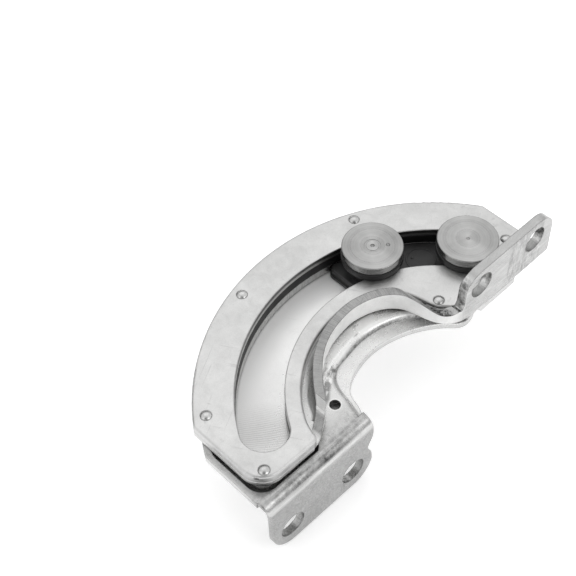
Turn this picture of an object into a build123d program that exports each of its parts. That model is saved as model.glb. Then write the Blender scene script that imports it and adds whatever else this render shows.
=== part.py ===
from build123d import *
import os
from math import acos, cos, degrees, sin, radians, sqrt

# Crescent arc-slide hinge. Millimetres. While it is drawn, the origin is the
# centre of the arc slot (the axis the moving leaf swings about), Z = 0 is the
# top face of the guide plate, X runs along both mounting flanges and -Y points
# out of their mounting faces. At the end everything is shifted so that the
# origin is the middle of the fixed flange's hole pattern, on its mounting face.

# ---------------- driving dimensions ----------------
R_TRACK = 30.0          # centre line of the arc slot
SLOT_W = 8.16           # width of the arc slot
SLOT_A0, SLOT_A1 = 32.6, 150.0   # polar angles of the slot's end centres
R_OUT = 41.0            # outer arc of guide plate and housing pan
R_RIM = 23.1            # inner rim of the guide plate
X_LEFT, Y_LOW, X_RIGHT = -33.65, 7.75, 34.95
R_CORNER = 4.4
GUIDE_T = 1.5           # guide plate
PAN_T = 1.6             # housing pan sheet
PAN_DROP = 1.9          # depth of the pressed channel in the pan
LEAF_T = 1.4            # moving leaf sheet
LEAF_GAP = 0.2          # running gap between pan and moving leaf
HOLE_D = 5.0            # mounting holes
HOLE_PITCH = 14.0       # mounting holes, centre to centre
TAB_Y = 7.5             # mounting face of the fixed flange
TAB_X0, TAB_X1, TAB_TOP = 13.9, 36.2, 8.5
TAB_HOLE_X, TAB_HOLE_Z = 24.5, 4.6
WALL_TOP = 1.75         # top of the upturned wall along the hump
FLANGE_Y = 5.3          # mounting face of the moving flange
FLANGE_HOLE_X, FLANGE_HOLE_Z = -22.55, -13.9
FLANGE_END_R = 4.9      # rounding of the moving flange round its holes
BEND_R = 2.3            # outer radius of the moving flange's bend
LEAF_R_OUT, LEAF_R_IN = 39.95, 15.55
LEAF_X_LEFT, LEAF_X_RIGHT = -34.85, -10.6
FLANGE_X_LEFT = -33.6   # the moving flange is a little narrower than the leaf
LEAF_END_A = 27.3       # polar angle where the outer arc of the moving leaf ends
LEAF_END_X, LEAF_END_Y = 29.5, 8.9   # corner of its end, which lies parallel to the fixed flange
STUD_A = (66.3, 33.85)  # polar angles of the two studs
HEAD_D, HEAD_T, HEAD_Z = 10.9, 1.3, 1.65
SHANK_D, TAIL_D = 5.2, 4.0
COLLAR_R = 3.98         # plastic collars that run in the guide plate's slot
SHOE_TOP = -3.34
SHOE_A0 = 33.2          # polar angle of the centre of the shoe's round end
SHOE_END_X = 6.8        # its other end is straight, across the track
SHOE_HALF = 3.98
FOOT_OUT, FOOT_H = 0.27, 0.62    # low foot along the straight end
CHANNEL_HALF, CHANNEL_INSET = 5.75, 1.05   # pressed channel: opening, slope
LINER_HALF = 4.65       # the liner lies on the channel floor, under the guide plate
STEP_DROP, BAND_T = 1.15, 1.4    # inner band of the moving leaf: below the rim, sheet
RIVETS = [(-9.87, 37.53), (16.08, 35.73), (-30.76, 23.56),
          (-31.1, 9.71), (12.95, 12.65), (31.57, 13.3)]
RIVET_D = 1.9
PIN_HOLE = (-13.2, 11.85, 1.9)   # blind locating hole in the moving leaf

Z_PAN_TOP = -GUIDE_T
Z_PAN_BOT = Z_PAN_TOP - PAN_T
Z_CH_FLOOR = Z_PAN_TOP - PAN_DROP          # channel floor, upper side
Z_CH_BOT = Z_PAN_BOT - PAN_DROP            # channel floor, lower side
Z_LEAF_TOP = Z_PAN_BOT - LEAF_GAP          # rim of the moving leaf
Z_LEAF_FLOOR = Z_CH_BOT - LEAF_GAP         # dished floor of the moving leaf
LEAF_DROP = Z_LEAF_TOP - Z_LEAF_FLOOR
SHIFT = Vector(-TAB_HOLE_X, -TAB_Y, -TAB_HOLE_Z)

os.makedirs("parts", exist_ok=True)


def pol(r, a, z=0.0):
    return Vector(r * cos(radians(a)), r * sin(radians(a)), z)


def arc(r, a0, a1):
    return ThreePointArc(pol(r, a0), pol(r, (a0 + a1) / 2), pol(r, a1))


def face(edges, z=0.0):
    return Face(Wire(edges)).moved(Location((0, 0, z)))


def slot_face(half, a0, a1, z=0.0):
    """Arc slot of the given half width with round ends at a0 and a1."""
    ro, ri = R_TRACK + half, R_TRACK - half
    c0, c1 = pol(R_TRACK, a0), pol(R_TRACK, a1)
    t0 = Vector(sin(radians(a0)), -cos(radians(a0)), 0)
    t1 = Vector(-sin(radians(a1)), cos(radians(a1)), 0)
    return face([
        arc(ro, a0, a1),
        ThreePointArc(pol(ro, a1), c1 + t1 * half, pol(ri, a1)),
        arc(ri, a1, a0),
        ThreePointArc(pol(ri, a0), c0 + t0 * half, pol(ro, a0)),
    ], z)


def disc(x, y, d, z0, z1):
    return Pos(x, y, (z0 + z1) / 2) * Cylinder(d / 2, z1 - z0)


def by_z(solid, z, tol=0.02):
    return [e for e in solid.edges()
            if abs(e.bounding_box().min.Z - z) < tol and abs(e.bounding_box().max.Z - z) < tol]


# ---------------- the upturned wall's path ----------------
# outer face of the wall: a low lip out of the straight lower edge, along the
# inner rim, over the hump, down the S-curve and tangent into the mounting face
wall_pts = [pol(19.42, 143.0), pol(19.5, 138.8), pol(19.65, 133.2), pol(20.05, 124.0),
            pol(20.45, 115.0), pol(20.68, 106.0), pol(20.76, 97.0), pol(20.8, 88.5),
            Vector(3.1, 20.32), Vector(5.4, 19.42), Vector(7.0, 18.3), Vector(8.15, 16.95),
            Vector(8.85, 15.3), Vector(9.3, 13.5), Vector(9.8, 11.8), Vector(10.6, 10.2),
            Vector(11.85, 8.85), Vector(13.5, 7.9), Vector(15.3, 7.55), Vector(17.5, TAB_Y)]
wall_out = Spline(wall_pts, tangents=[Vector(0.64, 0.77), Vector(1, 0)])
tail_out = Spline([Vector(-22.0, Y_LOW), Vector(-19.4, 8.72), Vector(-17.3, 10.12), wall_out @ 0],
                  tangents=[Vector(1, 0), wall_out % 0])


def offset_points(path, d, n):
    pts = []
    for i in range(n + 1):
        u = i / n
        p, t = path @ u, path % u
        pts.append(Vector(p.X - t.Y * d, p.Y + t.X * d, 0))
    return pts


back_pts = offset_points(wall_out, PAN_T, 40)
wall_back = Spline(back_pts, tangents=[wall_out % 0, Vector(1, 0)])
tail_back = Spline(offset_points(tail_out, PAN_T, 8), tangents=[Vector(1, 0), wall_out % 0])
wall_face = face([
    tail_out,
    wall_out,
    Line(wall_out @ 1, (TAB_X1, TAB_Y)),
    Line((TAB_X1, TAB_Y), (TAB_X1, TAB_Y + PAN_T)),
    Line((TAB_X1, TAB_Y + PAN_T), wall_back @ 1),
    wall_back,
    tail_back,
    Line(tail_back @ 0, tail_out @ 0),
])

def soften(solid, edges, radii, label="?"):
    """Round the edges with the first radius in the list that works."""
    for r in radii:
        try:
            out = fillet(edges, r)
            if out.is_valid and out.volume > 0:
                print("rounded", label, len(edges), r)
                return out
        except Exception:
            continue
    print("left sharp:", label, len(edges))
    return solid


# ---------------- guide plate ----------------
y_left = sqrt(R_OUT ** 2 - X_LEFT ** 2)
y_right = sqrt(R_OUT ** 2 - X_RIGHT ** 2)
BACK_Y = TAB_Y + PAN_T
# inner rim: concentric at the left, then it follows the wall with a small gap
# over the hump, and runs straight behind the fixed flange
follow = [p for p in offset_points(wall_out, PAN_T + 0.45, 40) if 3.0 < p.X < 15.5]
rim = Spline([Vector(-20.9, 9.0), pol(22.9, 154.0), pol(23.08, 150.5), pol(R_RIM, 147.0),
              pol(R_RIM, 136.0), pol(R_RIM, 124.0), pol(R_RIM, 112.0),
              pol(23.08, 100.0), pol(22.95, 90.0)] + follow[::3]
             + [Vector(18.5, BACK_Y + 0.45)], tangents=[Vector(0.25, 1), Vector(1, 0)])
guide_outline = face([
    ThreePointArc((X_RIGHT, y_right), (0, R_OUT), (X_LEFT, y_left)),
    Line((X_LEFT, y_left), (X_LEFT, Y_LOW + R_CORNER)),
    ThreePointArc((X_LEFT, Y_LOW + R_CORNER),
                  (X_LEFT + R_CORNER * (1 - sqrt(0.5)), Y_LOW + R_CORNER * (1 - sqrt(0.5))),
                  (X_LEFT + R_CORNER, Y_LOW)),
    Line((X_LEFT + R_CORNER, Y_LOW), (-22.0, Y_LOW)),
    ThreePointArc((-22.0, Y_LOW), (-22.0 + 1.1 * sqrt(0.5), Y_LOW + 1.25 * (1 - sqrt(0.5))), rim @ 0),
    rim,
    Line(rim @ 1, (X_RIGHT, BACK_Y + 0.45)),
    Line((X_RIGHT, BACK_Y + 0.45), (X_RIGHT, y_right)),
])
guide = extrude(guide_outline, amount=-GUIDE_T)
guide = soften(guide, by_z(guide, 0.0), [0.42, 0.3, 0.2], 'guide rim')
guide -= extrude(slot_face(SLOT_W / 2, SLOT_A0, SLOT_A1, 1.0), amount=-(GUIDE_T + 2))
slot_edges = [e for e in by_z(guide, 0.0) if (e @ 0.5).Y > 9.0 and
              min(abs((e @ t).length - R_TRACK) for t in (0.1, 0.5, 0.9)) < SLOT_W / 2 + 0.1]
guide = soften(guide, slot_edges, [0.2, 0.12], 'guide slot')
for x, y in RIVETS:
    guide -= disc(x, y, RIVET_D + 0.04, -GUIDE_T - 1, 1)

# ---------------- housing pan ----------------
INSET = 1.52                     # the border stops inside the wall band, behind the bend
in_path = Spline(offset_points(wall_out, INSET, 40), tangents=[wall_out % 0, Vector(1, 0)])
in_tail = Spline(offset_points(tail_out, INSET, 8), tangents=[Vector(1, 0), wall_out % 0])
pan_outline = face([
    ThreePointArc((X_RIGHT, y_right), (0, R_OUT), (X_LEFT, y_left)),
    Line((X_LEFT, y_left), (X_LEFT, Y_LOW + R_CORNER)),
    ThreePointArc((X_LEFT, Y_LOW + R_CORNER),
                  (X_LEFT + R_CORNER * (1 - sqrt(0.5)), Y_LOW + R_CORNER * (1 - sqrt(0.5))),
                  (X_LEFT + R_CORNER, Y_LOW)),
    Line((X_LEFT + R_CORNER, Y_LOW), (-22.0, Y_LOW)),
    Line((-22.0, Y_LOW), in_tail @ 0),
    in_tail,
    in_path,
    Line(in_path @ 1, (X_RIGHT, TAB_Y + INSET)),
    Line((X_RIGHT, TAB_Y + INSET), (X_RIGHT, y_right)),
])
border = extrude(pan_outline.moved(Location((0, 0, Z_PAN_TOP))), amount=-PAN_T)
outer_low = [e for e in by_z(border, Z_PAN_BOT) if (e @ 0.5).Y > Y_LOW + 0.5 and
             ((e @ 0.5).X < X_LEFT + 3 or (e @ 0.5).length > R_OUT - 0.5) or
             abs((e @ 0.5).Y - Y_LOW) < 0.01]
border = soften(border, outer_low, [0.7, 0.5, 0.3], 'pan low')
outer_top = [e for e in by_z(border, Z_PAN_TOP) if (e @ 0.5).X < X_LEFT + 3 or (e @ 0.5).length > R_OUT - 0.5]
border = soften(border, outer_top, [0.25, 0.15], 'pan top')

# height of the wall and of the flange it rises into, seen along Y
heights = Spline([Vector(8.3, WALL_TOP), Vector(9.15, 1.45), Vector(9.8, 0.75), Vector(10.6, 0.0),
                  Vector(11.3, -0.12), Vector(12.2, 0.15), Vector(13.1, 0.75), Vector(13.75, 2.1)],
                 tangents=[Vector(1, -0.05), Vector(0.18, 1)])
c4 = 3.9 * (1 - sqrt(0.5))
lip = Spline([Vector(-20.6, Z_PAN_TOP - 0.1), Vector(-19.6, -1.22), Vector(-18.6, -0.92), Vector(-17.6, -0.55),
              Vector(-16.95, -0.1), Vector(-16.5, 0.75), Vector(-16.2, WALL_TOP)],
             tangents=[Vector(1, 0.1), Vector(0.2, 1)])
top_edges = [
    Line((-25, Z_PAN_TOP - 0.1), (-20.6, Z_PAN_TOP - 0.1)), lip,
    Line((-16.2, WALL_TOP), (8.3, WALL_TOP)), heights,
    Line((13.75, 2.1), (TAB_X0, 5.2)),
    ThreePointArc((TAB_X0, 5.2), (TAB_X0 + 0.97, TAB_TOP - 0.97), (TAB_X0 + 3.3, TAB_TOP)),
    Line((TAB_X0 + 3.3, TAB_TOP), (TAB_X1 - 3.9, TAB_TOP)),
    ThreePointArc((TAB_X1 - 3.9, TAB_TOP), (TAB_X1 - c4, TAB_TOP - c4), (TAB_X1, TAB_TOP - 3.9)),
    Line((TAB_X1, TAB_TOP - 3.9), (TAB_X1, Z_PAN_BOT + 2.0)),
    ThreePointArc((TAB_X1, Z_PAN_BOT + 2.0), (TAB_X1 - 0.586, Z_PAN_BOT + 0.586), (TAB_X1 - 2.0, Z_PAN_BOT)),
    Line((TAB_X1 - 2.0, Z_PAN_BOT), (-25, Z_PAN_BOT)),
    Line((-25, Z_PAN_BOT), (-25, Z_PAN_TOP - 0.1)),
]
height_solid = extrude(Plane.XZ * Face(Wire(top_edges)), amount=30, dir=(0, 1, 0))
band = extrude(wall_face.moved(Location((0, 0, Z_PAN_BOT))), amount=14)
band = soften(band, [e for e in by_z(band, Z_PAN_BOT)
                     if min((e @ t - wall_out @ 0.5).length for t in (0.0, 0.25, 0.5, 0.75, 1.0)) < 0.6
                     or (abs((e @ 0.5).Y - TAB_Y) < 0.01)], [1.5, 1.4, 1.2, 0.9], 'pan bend')
wall = band & height_solid


def cove(u, w, h):
    """Cross-section of the concave bend between the border and the wall's back."""
    p, t = (wall_back @ u, wall_back % u) if u >= 0 else (tail_back @ (1 + u), tail_back % (1 + u))
    n = Vector(-t.Y, t.X, 0)
    base, top = Z_PAN_TOP - 0.12, Z_PAN_TOP + h
    at = lambda d, z: Vector(p.X + n.X * d, p.Y + n.Y * d, z)
    k = 1 - sqrt(0.5)
    return Face(Wire([
        Line(at(-0.2, base), at(-0.2, top)), Line(at(-0.2, top), at(0.02, top)),
        ThreePointArc(at(0.02, top), at(k * w, Z_PAN_TOP + k * h), at(w, Z_PAN_TOP)),
        Line(at(w, Z_PAN_TOP), at(w, base)), Line(at(w, base), at(-0.2, base))]))


def u_at(phi):
    """Parameter on the wall's back at a polar angle; negative on the lip."""
    return min((abs(((wall_back @ (i / 200)) if i >= 0 else (tail_back @ (1 + i / 200))).get_angle(Vector(1, 0, 0))
                    - phi), i / 200) for i in range(-190, 190))[1]


coves = [(149.0, 0.9, 0.6), (145.0, 1.35, 1.1), (140.0, 1.7, 1.7), (133.0, 1.45, 1.6),
         (124.0, 1.15, 1.3), (115.0, 0.8, 0.9), (107.0, 0.5, 0.5), (101.0, 0.25, 0.25)]
bend = loft([cove(u_at(f), w, h) for f, w, h in coves])
print("inner bend", round(bend.volume, 3), bend.is_valid)

# pressed channel, seen from above an arc track
out = 0.78                       # sheet thickness measured along the slope
channel_body = loft([slot_face(CHANNEL_HALF + out, SLOT_A0, SLOT_A1, Z_PAN_BOT + 0.01),
                     slot_face(CHANNEL_HALF - CHANNEL_INSET + out, SLOT_A0, SLOT_A1, Z_CH_BOT)], ruled=True)
channel_cut = loft([slot_face(CHANNEL_HALF, SLOT_A0, SLOT_A1, Z_PAN_TOP),
                    slot_face(CHANNEL_HALF - CHANNEL_INSET, SLOT_A0, SLOT_A1, Z_CH_FLOOR)], ruled=True)
pan = border + wall + bend
pan = pan + channel_body - channel_cut
pan -= extrude(slot_face(SLOT_W / 2 - 0.04, SLOT_A0, SLOT_A1, -1), amount=-6)
for k in (-0.5, 0.5):
    pan -= Pos(TAB_HOLE_X + k * HOLE_PITCH, TAB_Y, TAB_HOLE_Z) * Rot(90, 0, 0) * Cylinder(HOLE_D / 2, 8)
for x, y in RIVETS:
    pan -= disc(x, y, RIVET_D + 0.02, Z_PAN_BOT - 1, 1)

# ---------------- rivets ----------------
rivets = []
for x, y in RIVETS:
    body = disc(x, y, RIVET_D, Z_PAN_BOT + 0.04, 0.02)
    ball_r = ((RIVET_D / 2) ** 2 + 0.42 ** 2) / 0.84
    cap = Pos(x, y, 0.44 - ball_r) * Sphere(ball_r) & disc(x, y, RIVET_D, 0.02, 1.0)
    rivets.append(body + cap)

# ---------------- track liner ----------------
liner = extrude(slot_face(LINER_HALF, SLOT_A0, SLOT_A1, Z_PAN_TOP - 0.01), amount=Z_CH_FLOOR - Z_PAN_TOP + 0.02)
liner -= extrude(slot_face(SLOT_W / 2, SLOT_A0, SLOT_A1, 0), amount=-6)

# ---------------- moving leaf ----------------
y_ll = sqrt(LEAF_R_OUT ** 2 - LEAF_X_LEFT ** 2)
Y_BEND = FLANGE_Y + BEND_R
end_out, end_low = pol(LEAF_R_OUT, LEAF_END_A), Vector(LEAF_END_X, LEAF_END_Y)
in_end = Spline([pol(LEAF_R_IN, 76.0), Vector(5.75, 14.53), Vector(8.6, 13.33), Vector(11.05, 11.85),
                 Vector(13.1, 10.15), Vector(14.25, 9.0), Vector(15.4, 8.42), Vector(17.0, 8.45),
                 Vector(19.0, 8.72), Vector(21.5, LEAF_END_Y)],
                tangents=[Vector(sin(radians(76)), -cos(radians(76))), Vector(1, 0)])
nose = Spline([Vector(LEAF_X_RIGHT - 0.3, Y_BEND), Vector(-10.35, 8.9), Vector(-9.85, 10.7),
               Vector(-9.15, 12.2), Vector(-8.0, 13.25), pol(LEAF_R_IN, 110.0)],
              tangents=[Vector(0.12, 1), Vector(sin(radians(110)), -cos(radians(110)))])
# crease between the high pad and the low inner band; it ends at the leaf's end
STEP_END = 20.0
step = [Vector(-11.35, Y_BEND), Vector(-11.0, 9.2), Vector(-10.5, 11.1), Vector(-10.12, 13.1),
        Vector(-9.6, 14.6), Vector(-8.6, 16.1), Vector(-7.0, 17.1), pol(18.15, 104.0), pol(18.1, 92.0),
        pol(18.05, 78.0), pol(18.05, 60.0), pol(18.05, 42.0), pol(18.05, STEP_END)]
step_in = Spline(step, tangents=[Vector(0.1, 1), Vector(sin(radians(STEP_END)), -cos(radians(STEP_END)))])


def leaf_outline(y_end, z):
    return face([
        ThreePointArc(end_out, (0, LEAF_R_OUT), (LEAF_X_LEFT, y_ll)),
        Line((LEAF_X_LEFT, y_ll), (LEAF_X_LEFT, y_end)),
        Line((LEAF_X_LEFT, y_end), (LEAF_X_RIGHT - 0.3, y_end))] + (
        [Line((LEAF_X_RIGHT - 0.3, y_end), (LEAF_X_RIGHT - 0.3, Y_BEND))] if y_end < Y_BEND else []) + [
        nose,
        arc(LEAF_R_IN, 110.0, 76.0),
        in_end,
        Line(in_end @ 1, end_low),
        Line(end_low, end_out)], z)


plate_outline = face([
    ThreePointArc(end_out, (0, LEAF_R_OUT), (LEAF_X_LEFT, y_ll)),
    Line((LEAF_X_LEFT, y_ll), (LEAF_X_LEFT, Y_BEND)),
    Line((LEAF_X_LEFT, Y_BEND), step_in @ 0),
    step_in,
    Line(step_in @ 1, pol(41.5, STEP_END)),
    Line(pol(41.5, STEP_END), end_out)], Z_LEAF_TOP)
under = Spline([Vector(-13.4, Y_BEND), Vector(-12.9, 10.2), Vector(-12.4, 13.3), Vector(-11.2, 15.9),
                Vector(-8.6, 17.9), pol(19.9, 104.0), pol(19.8, 85.0), pol(19.8, 55.0), pol(19.8, STEP_END)],
               tangents=[Vector(0.1, 1), Vector(sin(radians(STEP_END)), -cos(radians(STEP_END)))])
band_outline = face([
    nose,
    arc(LEAF_R_IN, 110.0, STEP_END),
    Line(pol(LEAF_R_IN, STEP_END), under @ 1),
    under,
    Line(under @ 0, nose @ 0)], Z_LEAF_TOP - STEP_DROP)


def recess(d, z):
    """Outline of the dished part, moved inwards by d."""
    x0, y0 = -33.85 + d, Y_BEND + 0.05 + d
    ro = 38.8 - d
    yl = sqrt(ro ** 2 - x0 ** 2)
    inner = Spline([Vector(-21.3 - 0.4 * d, y0), Vector(-19.5 - 0.75 * d, 9.9 + 0.6 * d),
                    pol(21.45 + d, 146.0), pol(21.5 + d, 136.0), pol(21.5 + d, 122.0), pol(21.5 + d, 106.0),
                    pol(21.5 + d, 90.0), pol(21.5 + d, 70.0), pol(21.5 + d, 50.0), pol(21.5 + d, 32.0),
                    pol(21.5 + d, 5.0)],
                   tangents=[Vector(0.85, 0.52), Vector(sin(radians(5)), -cos(radians(5)))])
    f = face([
        arc(ro, 5.0, 90.0),
        ThreePointArc(pol(ro, 90.0), pol(ro, 115.0), (x0, yl)),
        Line((x0, yl), (x0, y0)),
        Line((x0, y0), inner @ 0),
        inner,
        Line(inner @ 1, pol(ro, 5.0))], 0)
    low = [v for v in f.vertices() if (v.center() - Vector(x0, y0, 0)).length < 0.01]
    top = [v for v in f.vertices() if (v.center() - Vector(x0, yl, 0)).length < 0.01]
    f = f.fillet_2d(3.2 - 0.8 * d, low)
    f = f.fillet_2d(3.0 - 0.8 * d, [v for v in f.vertices() if (v.center() - Vector(x0, yl, 0)).length < 0.01])
    return f.moved(Location((0, 0, z)))


leaf = extrude(plate_outline, amount=-LEAF_T)
leaf = soften(leaf, [e for e in by_z(leaf, Z_LEAF_TOP) if min((e @ 0.5 - step_in @ (i / 60)).length
                     for i in range(61)) < 3.6 and (e @ 0.5).length < 25 and (e @ 0.5).Y > Y_BEND + 0.5
                     and abs((e @ 0.0 - e @ 1.0).length - (step_in @ 0 - step_in @ 1).length) < 0.5],
              [1.35, 1.3, 1.2, 1.0, 0.6], 'leaf roll')
low_band = extrude(band_outline, amount=-BAND_T)
low_band = soften(low_band, [e for e in by_z(low_band, Z_LEAF_TOP - STEP_DROP - BAND_T)
                             if 18.5 < (e @ 0.5).length < 21.5 and (e @ 0.5).Y > Y_BEND + 0.5 and e.length > 20],
                  [1.0, 0.8, 0.5], 'band low')
leaf = leaf + low_band
zb = Z_LEAF_TOP - BEND_R
FL_BOT = FLANGE_HOLE_Z - 5.0
s5 = sqrt(0.5)
section = Face(Wire([
    Line((Y_BEND, Z_LEAF_TOP), (Y_BEND, Z_LEAF_TOP - LEAF_T)),
    ThreePointArc((Y_BEND, Z_LEAF_TOP - LEAF_T),
                  (Y_BEND - (BEND_R - LEAF_T) * s5, zb + (BEND_R - LEAF_T) * s5),
                  (FLANGE_Y + LEAF_T, zb)),
    Line((FLANGE_Y + LEAF_T, zb), (FLANGE_Y + LEAF_T, FL_BOT - 1)),
    Line((FLANGE_Y + LEAF_T, FL_BOT - 1), (FLANGE_Y, FL_BOT - 1)),
    Line((FLANGE_Y, FL_BOT - 1), (FLANGE_Y, zb)),
    ThreePointArc((FLANGE_Y, zb), (Y_BEND - BEND_R * s5, zb + BEND_R * s5), (Y_BEND, Z_LEAF_TOP)),
]))
strip = Pos(LEAF_X_LEFT - 2, 0, 0) * extrude(Plane.YZ * section, amount=32, dir=(1, 0, 0))
hx0, hx1 = FLANGE_HOLE_X - HOLE_PITCH / 2, FLANGE_HOLE_X + HOLE_PITCH / 2
side = Spline([Vector(LEAF_X_RIGHT - 0.3, Z_LEAF_TOP + 0.5), Vector(-10.62, -5.8), Vector(-10.6, -7.6),
               Vector(-11.15, -9.2), Vector(-11.75, -10.5), Vector(-11.55, -11.7), Vector(-10.95, -13.0),
               Vector(hx1 + 4.85, FLANGE_HOLE_Z - 1.0)],
              tangents=[Vector(0.1, -1), Vector(0.1, -1)])
front = Plane.XZ * Face(Wire([
    side,
    ThreePointArc(side @ 1, (hx1 + 3.25, FLANGE_HOLE_Z - 3.9), (hx1 - 0.3, FL_BOT)),
    Line((hx1 - 0.3, FL_BOT), (hx0 + 0.3, FL_BOT)),
    ThreePointArc((hx0 + 0.3, FL_BOT), (hx0 - 2.85, FLANGE_HOLE_Z - 3.55), (FLANGE_X_LEFT, FLANGE_HOLE_Z - 0.6)),
    Line((FLANGE_X_LEFT, FLANGE_HOLE_Z - 0.6), (FLANGE_X_LEFT, -9.5)),
    Spline([Vector(FLANGE_X_LEFT, -9.5), Vector(-33.95, -6.4), Vector(-34.7, -3.9), Vector(LEAF_X_LEFT, Z_LEAF_TOP + 0.5)],
           tangents=[Vector(0, 1), Vector(-0.1, 1)]),
    Line((LEAF_X_LEFT, Z_LEAF_TOP + 0.5), side @ 0),
]))
strip = strip & extrude(front, amount=12, dir=(0, 1, 0))
strip = soften(strip, [e for e in strip.edges() if e.bounding_box().max.Y < FLANGE_Y + 0.02
                       and e.bounding_box().max.Z < zb + 0.02 and e.bounding_box().min.Y > FLANGE_Y - 0.02
                       and not (abs(e.bounding_box().min.Z - zb) < 0.02 and abs(e.bounding_box().max.Z - zb) < 0.02)],
               [0.35, 0.25, 0.15], 'flange')
dish = loft([recess(-0.95, Z_LEAF_TOP - LEAF_T + 0.3), recess(0.75, Z_LEAF_FLOOR - LEAF_T)], ruled=True)
dish = dish & extrude(leaf_outline(FLANGE_Y + LEAF_T, 0), amount=-20)
bowl = loft([recess(0.0, Z_LEAF_TOP), recess(1.6, Z_LEAF_FLOOR)], ruled=True)
leaf = (leaf & extrude(leaf_outline(FLANGE_Y + LEAF_T, 0), amount=-20)) + strip + dish - bowl
leaf -= disc(PIN_HOLE[0], PIN_HOLE[1], PIN_HOLE[2], Z_LEAF_TOP - 1.05, 0)
for x in (hx0, hx1):
    leaf -= Pos(x, FLANGE_Y, FLANGE_HOLE_Z) * Rot(90, 0, 0) * Cylinder(HOLE_D / 2, 10)
for a in STUD_A:
    p = pol(R_TRACK, a)
    leaf -= disc(p.X, p.Y, TAIL_D + 0.04, -12, 0)

# ---------------- shoe ----------------
def shoe_face(x_end, z):
    """The shoe seen from above: round at one end, straight across at the other."""
    ro, ri = R_TRACK + SHOE_HALF, R_TRACK - SHOE_HALF
    ao, ai = degrees(acos(x_end / ro)), degrees(acos(x_end / ri))
    nose_c = pol(R_TRACK, SHOE_A0)
    ahead = Vector(sin(radians(SHOE_A0)), -cos(radians(SHOE_A0)), 0)
    f = face([
        arc(ro, SHOE_A0, ao),
        Line(pol(ro, ao), pol(ri, ai)),
        arc(ri, ai, SHOE_A0),
        ThreePointArc(pol(ri, SHOE_A0), nose_c + ahead * SHOE_HALF, pol(ro, SHOE_A0))])
    for corner, r in ((pol(ro, ao), 1.2), (pol(ri, ai), 0.7)):
        f = f.fillet_2d(r, [v for v in f.vertices() if (v.center() - corner).length < 0.01])
    return f.moved(Location((0, 0, z)))


shoe = extrude(shoe_face(SHOE_END_X, SHOE_TOP), amount=Z_LEAF_FLOOR - SHOE_TOP)
shoe = soften(shoe, by_z(shoe, SHOE_TOP), [0.3, 0.2, 0.15], 'shoe')
shoe += extrude(shoe_face(SHOE_END_X - FOOT_OUT, Z_LEAF_FLOOR + FOOT_H), amount=-FOOT_H)
m = pol(R_TRACK, 48.9)
shoe += disc(m.X, m.Y, 5.5, SHOE_TOP - 0.1, SHOE_TOP + 0.1) - disc(m.X, m.Y, 4.9, SHOE_TOP - 0.2, SHOE_TOP + 0.2)
shoe += disc(18.86, 23.96, 0.5, SHOE_TOP - 0.1, SHOE_TOP + 0.12)
for a in STUD_A:
    p = pol(R_TRACK, a)
    shoe -= disc(p.X, p.Y, SHANK_D + 0.1, -12, 0)

# ---------------- studs, collars and washers ----------------
studs, collars, steel, nylon, tails = [], [], [], [], []
WASH_Z0, WASH_Z1 = 0.08, 1.15
for i, a in enumerate(STUD_A):
    p = pol(R_TRACK, a)
    head = disc(p.X, p.Y, HEAD_D, HEAD_Z, HEAD_Z + HEAD_T)
    head = soften(head, by_z(head, HEAD_Z + HEAD_T), [0.22])
    head = soften(head, by_z(head, HEAD_Z), [0.25])
    stud = head + disc(p.X, p.Y, SHANK_D, Z_LEAF_FLOOR, HEAD_Z + 0.5)
    stud += disc(p.X, p.Y, TAIL_D, Z_LEAF_FLOOR - LEAF_T - 0.6, Z_LEAF_FLOOR + 0.5)
    peen = disc(p.X, p.Y, 5.6, Z_LEAF_FLOOR - LEAF_T - 1.3, Z_LEAF_FLOOR - LEAF_T - 0.5)
    peen = soften(peen, by_z(peen, Z_LEAF_FLOOR - LEAF_T - 1.3), [0.45])
    stud += peen
    if i == 0:
        stud -= disc(p.X, p.Y, 2.9, HEAD_Z + HEAD_T - 0.09, 4) - disc(p.X, p.Y, 2.3, 0, 5)
        stud -= Pos(p.X, p.Y, HEAD_Z + HEAD_T) * Sphere(0.35)
        stud -= Pos(14.1, 25.69, HEAD_Z + HEAD_T + 0.15) * Sphere(0.4)
    else:
        stud -= Pos(p.X, p.Y, HEAD_Z + HEAD_T + 0.25) * Sphere(0.4)
    studs.append(stud)
    bore = disc(p.X, p.Y, SHANK_D + 0.04, -12, 6)
    collars.append(disc(p.X, p.Y, 2 * COLLAR_R - 0.1, SHOE_TOP, WASH_Z0) - bore)
    w = disc(p.X, p.Y, 10.6, WASH_Z1, HEAD_Z)
    steel.append(soften(w, by_z(w, HEAD_Z), [0.12]) - bore)
    w = disc(p.X, p.Y, 11.1, WASH_Z0, WASH_Z1)
    nylon.append(soften(w, by_z(w, WASH_Z1), [0.2]) - bore)
    tails.append(disc(p.X, p.Y, 7.0, Z_LEAF_FLOOR - LEAF_T - 0.5, Z_LEAF_FLOOR - LEAF_T)
                 - disc(p.X, p.Y, TAIL_D + 0.04, -12, 6))

nodes = {
    "guide_plate": [guide], "housing_pan": [pan], "housing_rivets": rivets, "track_liner": [liner],
    "swing_plate": [leaf], "slider_shoe": [shoe], "stud_left": [studs[0]], "stud_right": [studs[1]],
    "collar_left": [collars[0]], "collar_right": [collars[1]],
    "steel_washer_left": [steel[0]], "steel_washer_right": [steel[1]],
    "nylon_washer_left": [nylon[0]], "nylon_washer_right": [nylon[1]],
    "tail_washers": tails,
}
for name, solids in nodes.items():
    flat = []
    for s in solids:
        flat += list(s.solids())
    flat = [s.moved(Location(SHIFT)) for s in flat]
    shape = flat[0] if len(flat) == 1 else Compound(children=flat)
    print(name, len(flat), round(sum(s.volume for s in flat), 2), all(s.is_valid for s in flat))
    export_step(shape, "parts/" + name + ".step")
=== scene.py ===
import bpy, math
from mathutils import Matrix, Vector


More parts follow.
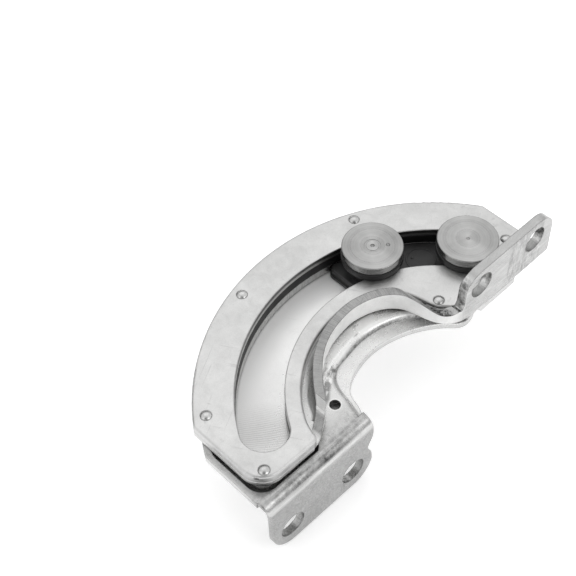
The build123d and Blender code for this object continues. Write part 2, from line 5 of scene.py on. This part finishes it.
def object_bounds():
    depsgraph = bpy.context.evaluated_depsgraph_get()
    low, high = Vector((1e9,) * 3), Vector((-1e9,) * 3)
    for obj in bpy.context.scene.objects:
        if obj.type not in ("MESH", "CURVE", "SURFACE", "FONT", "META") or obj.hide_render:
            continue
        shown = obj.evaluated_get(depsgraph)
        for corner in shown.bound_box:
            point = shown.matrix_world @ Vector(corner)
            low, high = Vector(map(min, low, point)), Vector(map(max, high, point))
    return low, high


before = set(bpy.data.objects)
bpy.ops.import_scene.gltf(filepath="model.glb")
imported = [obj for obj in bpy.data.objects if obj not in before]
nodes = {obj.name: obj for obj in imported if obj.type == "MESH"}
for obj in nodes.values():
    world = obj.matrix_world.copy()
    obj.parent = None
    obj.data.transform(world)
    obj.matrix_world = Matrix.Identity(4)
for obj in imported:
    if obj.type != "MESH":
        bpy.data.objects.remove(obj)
cad_box = [list(v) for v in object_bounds()]

MM = 0.001
SHIFT = Vector((24.5, 7.5, 4.6))          # drawing origin (swing axis) to part origin, mm


def P(x, y, z=0.0):
    """A point given from the swing axis in mm, as a point of the part in metres."""
    return (Vector((x, y, z)) - SHIFT) * MM


PIVOT = P(0, 0, 0)
STUD_L = P(30 * math.cos(math.radians(66.3)), 30 * math.sin(math.radians(66.3)))
STUD_R = P(30 * math.cos(math.radians(33.85)), 30 * math.sin(math.radians(33.85)))
SLOT_END = P(-24.6, 17.0)


# ---------------------------------------------------------------- node helpers
class Mat:
    """Small helper round a material's node tree."""

    def __init__(self, name, base, metallic, rough):
        self.m = bpy.data.materials.new(name)
        self.m.use_nodes = True
        self.t = self.m.node_tree
        self.t.nodes.clear()
        self.out = self.t.nodes.new("ShaderNodeOutputMaterial")
        self.b = self.t.nodes.new("ShaderNodeBsdfPrincipled")
        self.t.links.new(self.b.outputs["BSDF"], self.out.inputs["Surface"])
        self.b.inputs["Base Color"].default_value = (*base, 1)
        self.b.inputs["Metallic"].default_value = metallic
        self.b.inputs["Roughness"].default_value = rough
        self.co = self.node("ShaderNodeTexCoord").outputs["Object"]

    def node(self, kind, **props):
        n = self.t.nodes.new(kind)
        for k, v in props.items():
            setattr(n, k, v)
        return n

    def put(self, socket, value):
        if isinstance(value, bpy.types.NodeSocket):
            self.t.links.new(value, socket)
        elif value is not None:
            socket.default_value = value

    def math(self, op, a, b=None, c=None, clamp=False):
        n = self.node("ShaderNodeMath", operation=op, use_clamp=clamp)
        self.put(n.inputs[0], a)
        self.put(n.inputs[1], b)
        self.put(n.inputs[2], c)
        return n.outputs[0]

    def vec(self, op, a, b=None):
        n = self.node("ShaderNodeVectorMath", operation=op)
        self.put(n.inputs[0], a)
        if op == "SCALE":
            self.put(n.inputs["Scale"], b)
        else:
            self.put(n.inputs[1], b)
        return n.outputs["Value"] if op in ("LENGTH", "DOT_PRODUCT", "DISTANCE") else n.outputs["Vector"]

    def split(self, v):
        n = self.node("ShaderNodeSeparateXYZ")
        self.put(n.inputs[0], v)
        return n.outputs[0], n.outputs[1], n.outputs[2]

    def join(self, x, y, z):
        n = self.node("ShaderNodeCombineXYZ")
        for s, v in zip(n.inputs, (x, y, z)):
            self.put(s, v)
        return n.outputs[0]

    def noise(self, scale, detail=3.0, rough=0.55, vec=None, distort=0.0):
        n = self.node("ShaderNodeTexNoise")
        self.put(n.inputs["Vector"], vec if vec is not None else self.co)
        n.inputs["Scale"].default_value = scale
        n.inputs["Detail"].default_value = detail
        n.inputs["Roughness"].default_value = rough
        n.inputs["Distortion"].default_value = distort
        return n.outputs["Fac"]

    def ramp(self, fac, stops):
        n = self.node("ShaderNodeValToRGB")
        self.put(n.inputs[0], fac)
        e = n.color_ramp.elements
        while len(e) < len(stops):
            e.new(0.5)
        for el, (pos, v) in zip(e, stops):
            el.position = pos
            el.color = (v, v, v, 1) if isinstance(v, (int, float)) else (*v, 1)
        return n.outputs["Color"]

    def remap(self, v, a, b, c, d):
        n = self.node("ShaderNodeMapRange")
        n.clamp = True
        self.put(n.inputs[0], v)
        for s, x in zip(n.inputs[1:5], (a, b, c, d)):
            self.put(s, x)
        return n.outputs[0]

    def tint(self, fac, a, b):
        n = self.node("ShaderNodeMix", data_type="RGBA")
        self.put(n.inputs["Factor"], fac)
        self.put(n.inputs[6], (*a, 1) if isinstance(a, tuple) else a)
        self.put(n.inputs[7], (*b, 1) if isinstance(b, tuple) else b)
        return n.outputs[2]

    def blend(self, fac, a, b):
        n = self.node("ShaderNodeMix", data_type="FLOAT")
        self.put(n.inputs["Factor"], fac)
        self.put(n.inputs[2], a)
        self.put(n.inputs[3], b)
        return n.outputs[0]

    def bump(self, height, strength, distance=0.0001, normal=None):
        n = self.node("ShaderNodeBump")
        n.inputs["Strength"].default_value = strength
        n.inputs["Distance"].default_value = distance
        self.put(n.inputs["Height"], height)
        if normal is not None:
            self.put(n.inputs["Normal"], normal)
        return n.outputs["Normal"]

    def round_edges(self, radius):
        n = self.node("ShaderNodeBevel", samples=4)
        n.inputs["Radius"].default_value = radius
        return n.outputs["Normal"]

    def polar(self, centre):
        """Angle round, and distance from, an upright axis through centre."""
        d = self.vec("SUBTRACT", self.co, tuple(centre))
        x, y, z = self.split(d)
        r = self.vec("LENGTH", self.join(x, y, 0.0))
        return self.math("ARCTAN2", y, x), r, z


def cut_edge(m, h, low):
    """1 on sheared edges that face up above the height low, 0 elsewhere."""
    nx, ny, nz = m.split(m.node("ShaderNodeNewGeometry").outputs["True Normal"])
    return m.math("MULTIPLY", m.remap(nz, 0.75, 0.92, 0.0, 1.0), m.remap(h, low, low + 0.12 * MM, 0.0, 1.0)), nx, ny, nz


def sheet_steel(name, tone, rough, mottle=0.05, scratches=0.5, kind="plain"):
    """Bright zinc-plated sheet: clouded patches, small stains, fine grain, stray scratches."""
    m = Mat(name, (tone, tone, tone), 1.0, rough)
    broad = m.noise(120, 2, 0.5)
    cloud = m.noise(430, 4, 0.65, distort=0.5)
    stain = m.noise(1150, 3, 0.6, distort=0.8)
    grain = m.noise(5200, 2, 0.6)
    fine = m.noise(2300, 2, 0.6)
    shade = m.remap(cloud, 0.3, 0.7, -mottle, mottle * 0.8)
    shade = m.math("ADD", shade, m.remap(broad, 0.35, 0.65, -mottle * 0.5, mottle * 0.5))
    shade = m.math("ADD", shade, m.remap(grain, 0.3, 0.7, -0.03, 0.03))
    spots = m.math("MULTIPLY", m.remap(stain, 0.60, 0.70, 0.0, 1.0), m.remap(cloud, 0.45, 0.6, 0.0, 1.0))
    shade = m.math("SUBTRACT", shade, m.math("MULTIPLY", spots, mottle * 1.3))
    # stray scratches: two families of long thin streaks
    x, y, z = m.split(m.co)
    streaks = None
    for ang in (0.5, 2.1):
        c, s = math.cos(ang), math.sin(ang)
        u = m.math("ADD", m.math("MULTIPLY", x, c), m.math("MULTIPLY", y, s))
        v = m.math("SUBTRACT", m.math("MULTIPLY", y, c), m.math("MULTIPLY", x, s))
        n = m.noise(1.0, 2, 0.5, vec=m.join(m.math("MULTIPLY", u, 110.0), m.math("MULTIPLY", v, 2600.0), m.math("MULTIPLY", z, 140.0)))
        line = m.remap(n, 0.66, 0.72, 0.0, 1.0)
        streaks = line if streaks is None else m.math("MAXIMUM", streaks, line)
    streaks = m.math("MULTIPLY", streaks, m.remap(m.noise(130, 2), 0.5, 0.6, 0.0, scratches))
    shade = m.math("SUBTRACT", shade, m.math("MULTIPLY", streaks, 0.10))
    r = m.math("ADD", m.remap(cloud, 0.3, 0.7, rough - 0.05, rough + 0.07), m.math("MULTIPLY", streaks, 0.12))
    r = m.math("ADD", r, m.math("MULTIPLY", spots, 0.06))
    height = m.math("ADD", m.math("MULTIPLY", fine, 0.55), m.math("MULTIPLY", grain, 0.35))
    height = m.math("SUBTRACT", height, m.math("MULTIPLY", streaks, 0.6))
    tone_v = m.math("ADD", shade, tone)
    phi, rad, h = m.polar(PIVOT)
    if kind == "pan":
        # sheared edges: the top of the upturned wall and of the flange, marked across the sheet
        edge, nx, ny, nz = cut_edge(m, h, -1.40 * MM)
        marks = m.noise(1.0, 3, 0.7, vec=m.join(m.math("MULTIPLY", phi, 290.0), m.math("MULTIPLY", rad, 300.0), m.math("MULTIPLY", z, 260.0)))
        coarse = m.noise(1500, 3, 0.65)
        low_edge = m.math("MULTIPLY", edge, m.remap(h, 5.0 * MM, 7.0 * MM, 1.0, 0.45))
        s_bend = m.math("MULTIPLY", edge, m.remap(h, 0.9 * MM, 1.5 * MM, 1.0, 0.0))
        s_bend = m.math("MULTIPLY", s_bend, m.remap(x, P(6.5, 0).x, P(7.5, 0).x, 0.0, 1.0))
        tone_v = m.math("ADD", tone_v, m.math("MULTIPLY", low_edge, m.remap(marks, 0.3, 0.7, -0.38, -0.17)))
        tone_v = m.math("ADD", tone_v, m.math("MULTIPLY", s_bend, m.remap(coarse, 0.4, 0.62, -0.30, 0.02)))
        r = m.math("ADD", r, m.math("MULTIPLY", edge, 0.10))
        # the narrow left end of the flange
        side = m.math("MULTIPLY", m.remap(nx, -0.9, -0.6, 1.0, 0.0), m.remap(h, -0.8 * MM, 0.2 * MM, 0.0, 1.0))
        side = m.math("MULTIPLY", side, m.remap(x, P(12, 0).x, P(12.6, 0).x, 0.0, 1.0))
        tone_v = m.math("ADD", tone_v, m.math("MULTIPLY", side, m.remap(coarse, 0.38, 0.62, -0.36, 0.05)))
        # mounting face of the flange: brushed streaks along its length, and painted shade darkening the whole face
        face = m.math("MULTIPLY", m.remap(ny, -0.97, -0.9, 1.0, 0.0), m.remap(x, P(12, 0).x, P(14.5, 0).x, 0.0, 1.0))
        brush = m.noise(1.0, 3, 0.6, vec=m.join(m.math("MULTIPLY", x, 260.0), m.math("MULTIPLY", y, 400.0), m.math("MULTIPLY", z, 2100.0)))
        tone_v = m.math("ADD", tone_v, m.math("MULTIPLY", face, m.remap(brush, 0.3, 0.7, -0.19, -0.03)))
        height = m.math("ADD", height, m.math("MULTIPLY", m.math("MULTIPLY", edge, marks), 1.2))
        # inner face of the upturned wall: matt, and painted pale to stand in for the front light falling on it
        inner = m.math("MULTIPLY", m.remap(rad, 20.85 * MM, 21.0 * MM, 1.0, 0.0), m.remap(m.math("ABSOLUTE", nz), 0.45, 0.6, 1.0, 0.0))
        inner = m.math("MULTIPLY", inner, m.remap(x, P(12, 0).x, P(14, 0).x, 1.0, 0.0))
        inner = m.math("MULTIPLY", inner, m.remap(cloud, 0.25, 0.6, 0.8, 1.0))
        tone_v = m.math("ADD", tone_v, m.math("MULTIPLY", inner, 0.24))
        r = m.math("ADD", r, m.math("MULTIPLY", inner, 0.12))
        # painted light: the cove strip at the foot of the wall is lifted in tone against its shade, and made less
        # metallic
        trough = m.math("MULTIPLY", m.remap(rad, 22.0 * MM, 22.4 * MM, 0.0, 1.0), m.remap(rad, 23.4 * MM, 23.8 * MM, 1.0, 0.0))
        trough = m.math("MULTIPLY", trough, m.remap(phi, 1.8, 2.2, 0.0, 1.0))
        tone_v = m.math("ADD", tone_v, m.math("MULTIPLY", trough, 0.06))
        m.put(m.b.inputs["Metallic"], m.math("SUBTRACT", 1.0, m.math("MAXIMUM", m.math("MULTIPLY", inner, 0.7), m.math("MULTIPLY", trough, 0.45))))
        # punched edge of the sheet all round the slot: fine upright shear marks
        shear = m.noise(1.0, 3, 0.7, vec=m.join(m.math("MULTIPLY", phi, 190.0), m.math("MULTIPLY", rad, 90.0), m.math("MULTIPLY", z, 500.0)))
        punched = m.math("MULTIPLY", m.remap(m.math("ABSOLUTE", nz), 0.2, 0.4, 1.0, 0.0), m.remap(rad, 25.6 * MM, 25.8 * MM, 0.0, 1.0))
        punched = m.math("MULTIPLY", punched, m.remap(rad, 34.3 * MM, 34.5 * MM, 1.0, 0.0))
        tone_v = m.math("ADD", tone_v, m.math("MULTIPLY", punched, m.remap(shear, 0.3, 0.7, -0.20, 0.08)))
    if kind == "leaf":
        # the dished floor is smoother than the rim, and painted lighter towards its upper end to stand in for light
        floor = m.math("MULTIPLY", m.remap(h, -4.2 * MM, -5.0 * MM, 0.0, 1.0), m.remap(h, -6.4 * MM, -5.9 * MM, 0.0, 1.0))
        inside = m.math("MULTIPLY", floor, m.remap(rad, 20.8 * MM, 21.8 * MM, 0.0, 1.0))
        tone_v = m.math("ADD", tone_v, m.math("MULTIPLY", inside, m.remap(y, P(0, 16).y, P(0, 26).y, 0.0, 0.13)))
        r = m.math("SUBTRACT", r, m.math("MULTIPLY", inside, 0.08))
        # brushed matt towards the outer side of the track, and painted lighter there against the shade under the outer
        # wall
        deep = m.math("MULTIPLY", inside, m.remap(rad, 26.0 * MM, 31.0 * MM, 0.25, 1.0))
        deep = m.math("MULTIPLY", deep, m.remap(y, P(0, 12).y, P(0, 19).y, 0.0, 1.0))
        tone_v = m.math("ADD", tone_v, m.math("MULTIPLY", deep, 0.26))
        r = m.math("ADD", r, m.math("MULTIPLY", deep, 0.25))
        # fine fan of tool marks near the end of the slot
        fa, fr, _ = m.polar(SLOT_END + Vector((0.030, -0.040, 0)))
        wobble = m.math("MULTIPLY", m.noise(900, 3, 0.6), 5.0)
        comb = m.math("SINE", m.math("ADD", m.math("MULTIPLY", fa, 900.0), wobble))
        near = m.remap(m.vec("DISTANCE", m.join(x, y, 0.0), (SLOT_END.x, SLOT_END.y, 0.0)), 1.5 * MM, 6.5 * MM, 1.0, 0.0)
        comb = m.math("MULTIPLY", m.math("MULTIPLY", comb, near), inside)
        tone_v = m.math("ADD", tone_v, m.math("MULTIPLY", comb, 0.11))
        tone_v = m.math("SUBTRACT", tone_v, m.math("MULTIPLY", m.math("MULTIPLY", near, inside), 0.11))
        height = m.math("ADD", height, m.math("MULTIPLY", comb, 0.4))
        # the flange carries painted shade with a speckle, and the pad beside it is darker in blotches
        outer = m.math("MULTIPLY", m.remap(y, P(0, 6.2).y, P(0, 7.4).y, 1.0, 0.0), 1.0)
        pad = m.math("MULTIPLY", m.remap(y, P(0, 8.0).y, P(0, 11.5).y, 1.0, 0.0), m.remap(h, -4.6 * MM, -4.2 * MM, 0.0, 1.0))
        speck = m.noise(2600, 3, 0.7)
        # painted reflection streaks drawn along the bend of the flange
        bend = m.math("MULTIPLY", m.remap(y, P(0, 7.3).y, P(0, 7.9).y, 1.0, 0.0), m.remap(h, -6.0 * MM, -5.5 * MM, 0.0, 1.0))
        outer = m.math("MULTIPLY", outer, m.math("SUBTRACT", 1.0, bend))
        along = m.noise(1.0, 3, 0.6, vec=m.join(m.math("MULTIPLY", x, 45.0), m.math("MULTIPLY", m.math("SUBTRACT", z, y), 1150.0), 0.7))
        tone_v = m.math("ADD", tone_v, m.math("MULTIPLY", bend, m.remap(along, 0.34, 0.62, -0.24, 0.10)))
        # painted shade on the flange face, speckled
        tone_v = m.math("ADD", tone_v, m.math("MULTIPLY", outer, m.remap(speck, 0.3, 0.7, -0.29, -0.17)))
        tone_v = m.math("ADD", tone_v, m.math("MULTIPLY", pad, m.remap(stain, 0.35, 0.65, -0.24, -0.10)))
        coarse = m.noise(1.0, 3, 0.65, vec=m.join(m.math("MULTIPLY", phi, 22.0), m.math("MULTIPLY", rad, 1500.0), m.math("MULTIPLY", z, 900.0)))
        # painted highlight on the high rim under the wall, broken by painted dark reflection streaks that deepen
        # towards its left end
        bead_sheen = m.noise(1.0, 3, 0.6, vec=m.join(m.math("MULTIPLY", phi, 8.0), m.math("MULTIPLY", rad, 900.0), 0.4))
        bead_sheen = m.math("ADD", bead_sheen, m.remap(phi, 1.9, 2.25, 0.10, -0.22))
        bead = m.math("MULTIPLY", m.remap(rad, 18.35 * MM, 18.8 * MM, 0.0, 1.0), m.remap(rad, 20.9 * MM, 21.3 * MM, 1.0, 0.0))
        # painted shade darkening the crease at the foot of the rolled step
        _, _, nz = m.split(m.node("ShaderNodeNewGeometry").outputs["True Normal"])
        crease = m.math("MULTIPLY", m.remap(nz, 0.35, 0.80, 1.0, 0.0), m.remap(rad, 20.6 * MM, 21.0 * MM, 1.0, 0.0))
        crease = m.math("MULTIPLY", crease, m.remap(h, -4.45 * MM, -4.35 * MM, 0.0, 1.0))
        crease = m.math("MULTIPLY", crease, m.remap(y, P(0, 8.2).y, P(0, 9.5).y, 0.0, 1.0))
        tone_v = m.math("ADD", tone_v, m.math("MULTIPLY", crease, m.remap(coarse, 0.38, 0.62, -0.42, -0.02)))
        # painted light lifting the low inner band, which lies in the shade of the S-bend
        band = m.math("MULTIPLY", m.remap(rad, 17.9 * MM, 18.2 * MM, 1.0, 0.0), m.remap(h, -4.9 * MM, -4.7 * MM, 0.0, 1.0))
        band = m.math("MULTIPLY", band, m.remap(h, -4.40 * MM, -4.30 * MM, 1.0, 0.0))
        band = m.math("MULTIPLY", band, m.remap(y, P(0, 8.0).y, P(0, 9.0).y, 0.0, 1.0))
        tone_v = m.math("ADD", tone_v, m.math("MULTIPLY", band, 0.14))
        bead = m.math("MULTIPLY", bead, m.remap(phi, 1.1, 1.4, 0.0, 1.0))
        bead = m.math("MULTIPLY", bead, m.remap(h, -4.4 * MM, -4.1 * MM, 0.0, 1.0))
        bead = m.math("MULTIPLY", bead, m.remap(y, P(0, 12.5).y, P(0, 13.5).y, 0.0, 1.0))
        # painted highlight and painted reflection streaks on the bead
        tone_v = m.math("ADD", tone_v, m.math("MULTIPLY", bead, m.remap(bead_sheen, 0.36, 0.5, -0.30, 0.33)))
        m.put(m.b.inputs["Metallic"], m.math("SUBTRACT", 1.0, m.math("MAXIMUM", m.math("MULTIPLY", deep, 0.75), m.math("MAXIMUM", m.math("MULTIPLY", band, 0.4), m.math("MULTIPLY", bead, 0.55)))))
        # blind locating hole: painted shade inside, and a painted highlight on the ring round it
        _, hole, _ = m.polar(P(-13.2, 11.85))
        tone_v = m.math("ADD", tone_v, m.math("MULTIPLY", m.math("MULTIPLY", m.remap(hole, 0.9 * MM, 0.96 * MM, 0.0, 1.0), m.remap(hole, 1.1 * MM, 1.25 * MM, 1.0, 0.0)), 0.15))
        tone_v = m.math("MULTIPLY", tone_v, m.remap(hole, 0.92 * MM, 0.96 * MM, 0.14, 1.0))
    if kind == "plain":
        # punched edge of the slot: dark towards the top, a pale line below
        nx, ny, nz = m.split(m.node("ShaderNodeNewGeometry").outputs["True Normal"])
        punched = m.math("MULTIPLY", m.remap(m.math("ABSOLUTE", nz), 0.3, 0.5, 1.0, 0.0), m.remap(rad, 33.8 * MM, 33.95 * MM, 0.0, 1.0))
        punched = m.math("MULTIPLY", punched, m.remap(rad, 34.4 * MM, 34.6 * MM, 1.0, 0.0))
        band = m.math("MULTIPLY", m.remap(h, -0.95 * MM, -0.75 * MM, 0.0, 1.0), m.remap(h, -0.25 * MM, -0.1 * MM, 1.0, 0.3))
        tone_v = m.math("SUBTRACT", tone_v, m.math("MULTIPLY", m.math("MULTIPLY", punched, band), 0.40))
    # thin shade along sheared edges
    eased = m.round_edges(0.00026)
    flat = m.node("ShaderNodeNewGeometry").outputs["True Normal"]
    rim = m.remap(m.vec("DOT_PRODUCT", eased, flat), 0.80, 0.97, 1.0, 0.0)
    tone_v = m.math("SUBTRACT", tone_v, m.math("MULTIPLY", rim, 0.20))
    tone_v = m.math("MAXIMUM", m.math("MINIMUM", tone_v, 0.93), 0.03)
    # grime and shade gathered where one piece meets another
    gap = m.node("ShaderNodeAmbientOcclusion", samples=8)
    gap.inputs["Distance"].default_value = 0.0005
    tone_v = m.math("MULTIPLY", tone_v, m.remap(gap.outputs["AO"], 0.25, 0.9, {"pan": 0.7, "leaf": 0.6}.get(kind, 0.42), 1.0))
    m.put(m.b.inputs["Base Color"], m.join(tone_v, tone_v, m.math("MULTIPLY", tone_v, 0.992)))
    m.put(m.b.inputs["Roughness"], r)
    m.put(m.b.inputs["Normal"], m.bump(height, 0.20, 0.00006, eased))
    return m.m


def turned_steel(name, centre, tone):
    """Lathe-faced stud: concentric marks, and a radial sheen painted into the colour as light and dark sectors."""
    m = Mat(name, (tone, tone, tone), 1.0, 0.3)
    phi, rad, h = m.polar(centre)
    wob = m.math("MULTIPLY", m.noise(220, 2), 0.00012)
    rr = m.math("ADD", rad, wob)
    rings = m.noise(1.0, 3, 0.7, vec=m.join(m.math("MULTIPLY", rr, 3600.0), 0.3, 0.7))
    broad = m.noise(1.0, 2, 0.5, vec=m.join(m.math("MULTIPLY", rr, 900.0), 4.1, 2.2))
    sector_sheen = m.noise(1.0, 2, 0.5, vec=m.join(m.math("COSINE", phi), m.math("SINE", phi), 1.7))
    bowtie_sheen = m.math("COSINE", m.math("MULTIPLY", m.math("SUBTRACT", phi, 1.0), 2.0))
    cloud = m.noise(330, 3, 0.6)
    v = m.math("ADD", m.remap(rings, 0.3, 0.7, -0.05, 0.05), tone)
    v = m.math("ADD", v, m.remap(broad, 0.3, 0.7, -0.03, 0.03))
    # painted highlight: light and dark sectors and a bow-tie sheen across the head
    v = m.math("ADD", v, m.remap(sector_sheen, 0.3, 0.7, -0.04, 0.04))
    v = m.math("ADD", v, m.math("MULTIPLY", bowtie_sheen, 0.03))
    v = m.math("ADD", v, m.remap(cloud, 0.3, 0.7, -0.03, 0.03))
    m.put(m.b.inputs["Base Color"], m.join(v, v, m.math("MULTIPLY", v, 0.99)))
    m.put(m.b.inputs["Roughness"], m.remap(rings, 0.3, 0.7, 0.24, 0.38))
    m.b.inputs["Anisotropic"].default_value = 0.55
    tangent = m.node("ShaderNodeTangent", direction_type="RADIAL", axis="Z")
    m.put(m.b.inputs["Tangent"], tangent.outputs["Tangent"])
    height = m.math("ADD", m.math("MULTIPLY", rings, 1.0), m.math("MULTIPLY", m.noise(4200, 2), 0.25))
    m.put(m.b.inputs["Normal"], m.bump(height, 0.16, 0.00005, m.round_edges(0.00012)))
    return m.m


def moulded_black(name, tone, rough, sheen_lines=False):
    m = Mat(name, (tone, tone, tone), 0.0, rough)
    cloud = m.noise(420, 3, 0.6)
    grain = m.noise(6500, 2, 0.6)
    v = m.math("ADD", m.remap(cloud, 0.3, 0.7, -tone * 0.35, tone * 0.45), tone)
    m.put(m.b.inputs["Base Color"], m.join(v, v, v))
    m.put(m.b.inputs["Roughness"], m.remap(cloud, 0.3, 0.7, rough - 0.07, rough + 0.09))
    m.b.inputs["Specular IOR Level"].default_value = 0.42
    height = m.math("ADD", m.math("MULTIPLY", grain, 0.7), m.math("MULTIPLY", m.noise(1300, 2), 0.5))
    m.put(m.b.inputs["Normal"], m.bump(height, 0.2, 0.00005, m.round_edges(0.00015)))
    return m.m


mats = {
    "guide_plate": sheet_steel("zinc_guide", 0.575, 0.33, 0.065, 0.7),
    "housing_pan": sheet_steel("zinc_pan", 0.60, 0.28, 0.040, 0.5, "pan"),
    "swing_plate": sheet_steel("zinc_leaf", 0.60, 0.27, 0.045, 0.6, "leaf"),
    "housing_rivets": sheet_steel("rivet_steel", 0.58, 0.22, 0.05, 0.3),
    "stud_left": turned_steel("turned_left", STUD_L, 0.37),
    "stud_right": turned_steel("turned_right", STUD_R, 0.385),
    "steel_washer_left": sheet_steel("washer_steel", 0.44, 0.30, 0.05, 0.3),
    "tail_washers": sheet_steel("tail_steel", 0.55, 0.35, 0.05, 0.3),
    "slider_shoe": moulded_black("black_shoe", 0.032, 0.40),
    "track_liner": moulded_black("black_liner", 0.008, 0.5),
    "collar_left": moulded_black("black_collar", 0.010, 0.45),
    "nylon_washer_left": moulded_black("black_washer", 0.011, 0.4),
}
for a, b in (("steel_washer_right", "steel_washer_left"), ("collar_right", "collar_left"),
             ("nylon_washer_right", "nylon_washer_left")):
    mats[a] = mats[b]

for name, o in nodes.items():
    o.data.materials.clear()
    o.data.materials.append(mats[name])

# ---------------------------------------------------------------- floor
bpy.ops.mesh.primitive_plane_add(size=3.0, location=(0, 0, cad_box[0][2] - 0.0002))
floor = bpy.context.object
floor.name = "floor"
fm = Mat("floor_paper", (0.9, 0.9, 0.9), 0.0, 0.8)
fm.b.inputs["Emission Color"].default_value = (1, 1, 1, 1)
fm.b.inputs["Emission Strength"].default_value = 0.38
floor.data.materials.append(fm.m)

# ---------------------------------------------------------------- light
world = bpy.data.worlds.new("studio")
bpy.context.scene.world = world
world.use_nodes = True
wt = world.node_tree
bg = wt.nodes["Background"]
direction = wt.nodes.new("ShaderNodeTexCoord")
parts = wt.nodes.new("ShaderNodeSeparateXYZ")
wt.links.new(direction.outputs["Generated"], parts.inputs[0])
sky = wt.nodes.new("ShaderNodeValToRGB")          # brightness by height above the horizon
wt.links.new(parts.outputs[2], sky.inputs[0])
stops = [(0.0, 0.30), (0.06, 0.45), (0.22, 1.0), (0.6, 0.95), (1.0, 0.95)]
while len(sky.color_ramp.elements) < len(stops):
    sky.color_ramp.elements.new(0.5)
for el, (pos, val) in zip(sky.color_ramp.elements, stops):
    el.position = pos
    el.color = (val, val, val, 1)


def world_node(kind, op, a, b=None, c=None):
    n = wt.nodes.new(kind)
    n.operation = op
    for socket, val in zip(n.inputs, (a, b, c)):
        if isinstance(val, bpy.types.NodeSocket):
            wt.links.new(val, socket)
        elif val is not None:
            socket.default_value = val
    return n


def world_step(value, a, b, c, d):
    n = wt.nodes.new("ShaderNodeMapRange")
    n.clamp = True
    wt.links.new(value, n.inputs[0])
    for socket, val in zip(n.inputs[1:5], (a, b, c, d)):
        socket.default_value = val
    return n.outputs[0]


# the open side of the tent: a dark patch in front and above, and a dim wall behind
front = world_node("ShaderNodeVectorMath", "DOT_PRODUCT", direction.outputs["Generated"], (-0.42, -0.46, 0.78))
patch = world_step(front.outputs["Value"], 0.86, 0.97, 1.0, 0.26)
back = world_step(parts.outputs[1], 0.35, 0.75, 0.0, 1.0)
low = world_step(parts.outputs[2], 0.12, 0.45, 1.0, 0.0)
wall = world_node("ShaderNodeMath", "MULTIPLY", back, low).outputs[0]
wall = world_step(wall, 0.0, 1.0, 1.0, 0.15)
dim = world_node("ShaderNodeMath", "MULTIPLY", patch, wall).outputs[0]
scaled = world_node("ShaderNodeVectorMath", "SCALE", sky.outputs["Color"])
wt.links.new(dim, scaled.inputs["Scale"])
wt.links.new(scaled.outputs["Vector"], bg.inputs["Color"])
bg.inputs["Strength"].default_value = 1.0


def softbox(name, loc, target, size, power):
    light = bpy.data.lights.new(name, "AREA")
    light.shape = "RECTANGLE"
    light.size, light.size_y = size
    light.energy = power
    o = bpy.data.objects.new(name, light)
    bpy.context.collection.objects.link(o)
    o.location = loc
    o.rotation_mode = "QUATERNION"
    o.rotation_quaternion = (Vector(loc) - Vector(target)).to_track_quat("Z", "Y")
    return o


aim = P(0, 22, -2)
softbox("key_over", (0.12, 0.22, 0.42), aim, (0.5, 0.4), 0.22)
softbox("side_left", (-0.42, 0.10, 0.22), aim, (0.25, 0.4), 0.10)
softbox("front_fill", (0.02, -0.42, 0.34), aim, (0.30, 0.16), 0.26)

# ---------------------------------------------------------------- camera
AZ, EL, ROLL = math.radians(42.37), math.radians(51.37), math.radians(-2.42)
TX, TY, DIST, FPX = -24.62, 22.08, 217.08, 1256.49
r = Vector((math.cos(AZ), -math.sin(AZ), 0))
q = Vector((math.sin(AZ), math.cos(AZ), 0))
up = Vector((0, 0, 1))
v = q * math.cos(EL) - up * math.sin(EL)
u = q * math.sin(EL) + up * math.cos(EL)
r2 = r * math.cos(ROLL) + u * math.sin(ROLL)
u2 = -r * math.sin(ROLL) + u * math.cos(ROLL)
eye = P(*(r * TX + q * TY - v * DIST))
cam_data = bpy.data.cameras.new("cam")
cam_data.sensor_width = 36.0
cam_data.lens = FPX / 576 * 36.0
cam_data.clip_start, cam_data.clip_end = 0.01, 10
cam = bpy.data.objects.new("cam", cam_data)
bpy.context.collection.objects.link(cam)
cam.matrix_world = Matrix(((r2.x, u2.x, -v.x, eye.x), (r2.y, u2.y, -v.y, eye.y), (r2.z, u2.z, -v.z, eye.z), (0, 0, 0, 1)))
bpy.context.scene.camera = cam
bpy.context.scene.view_settings.view_transform = "Standard"
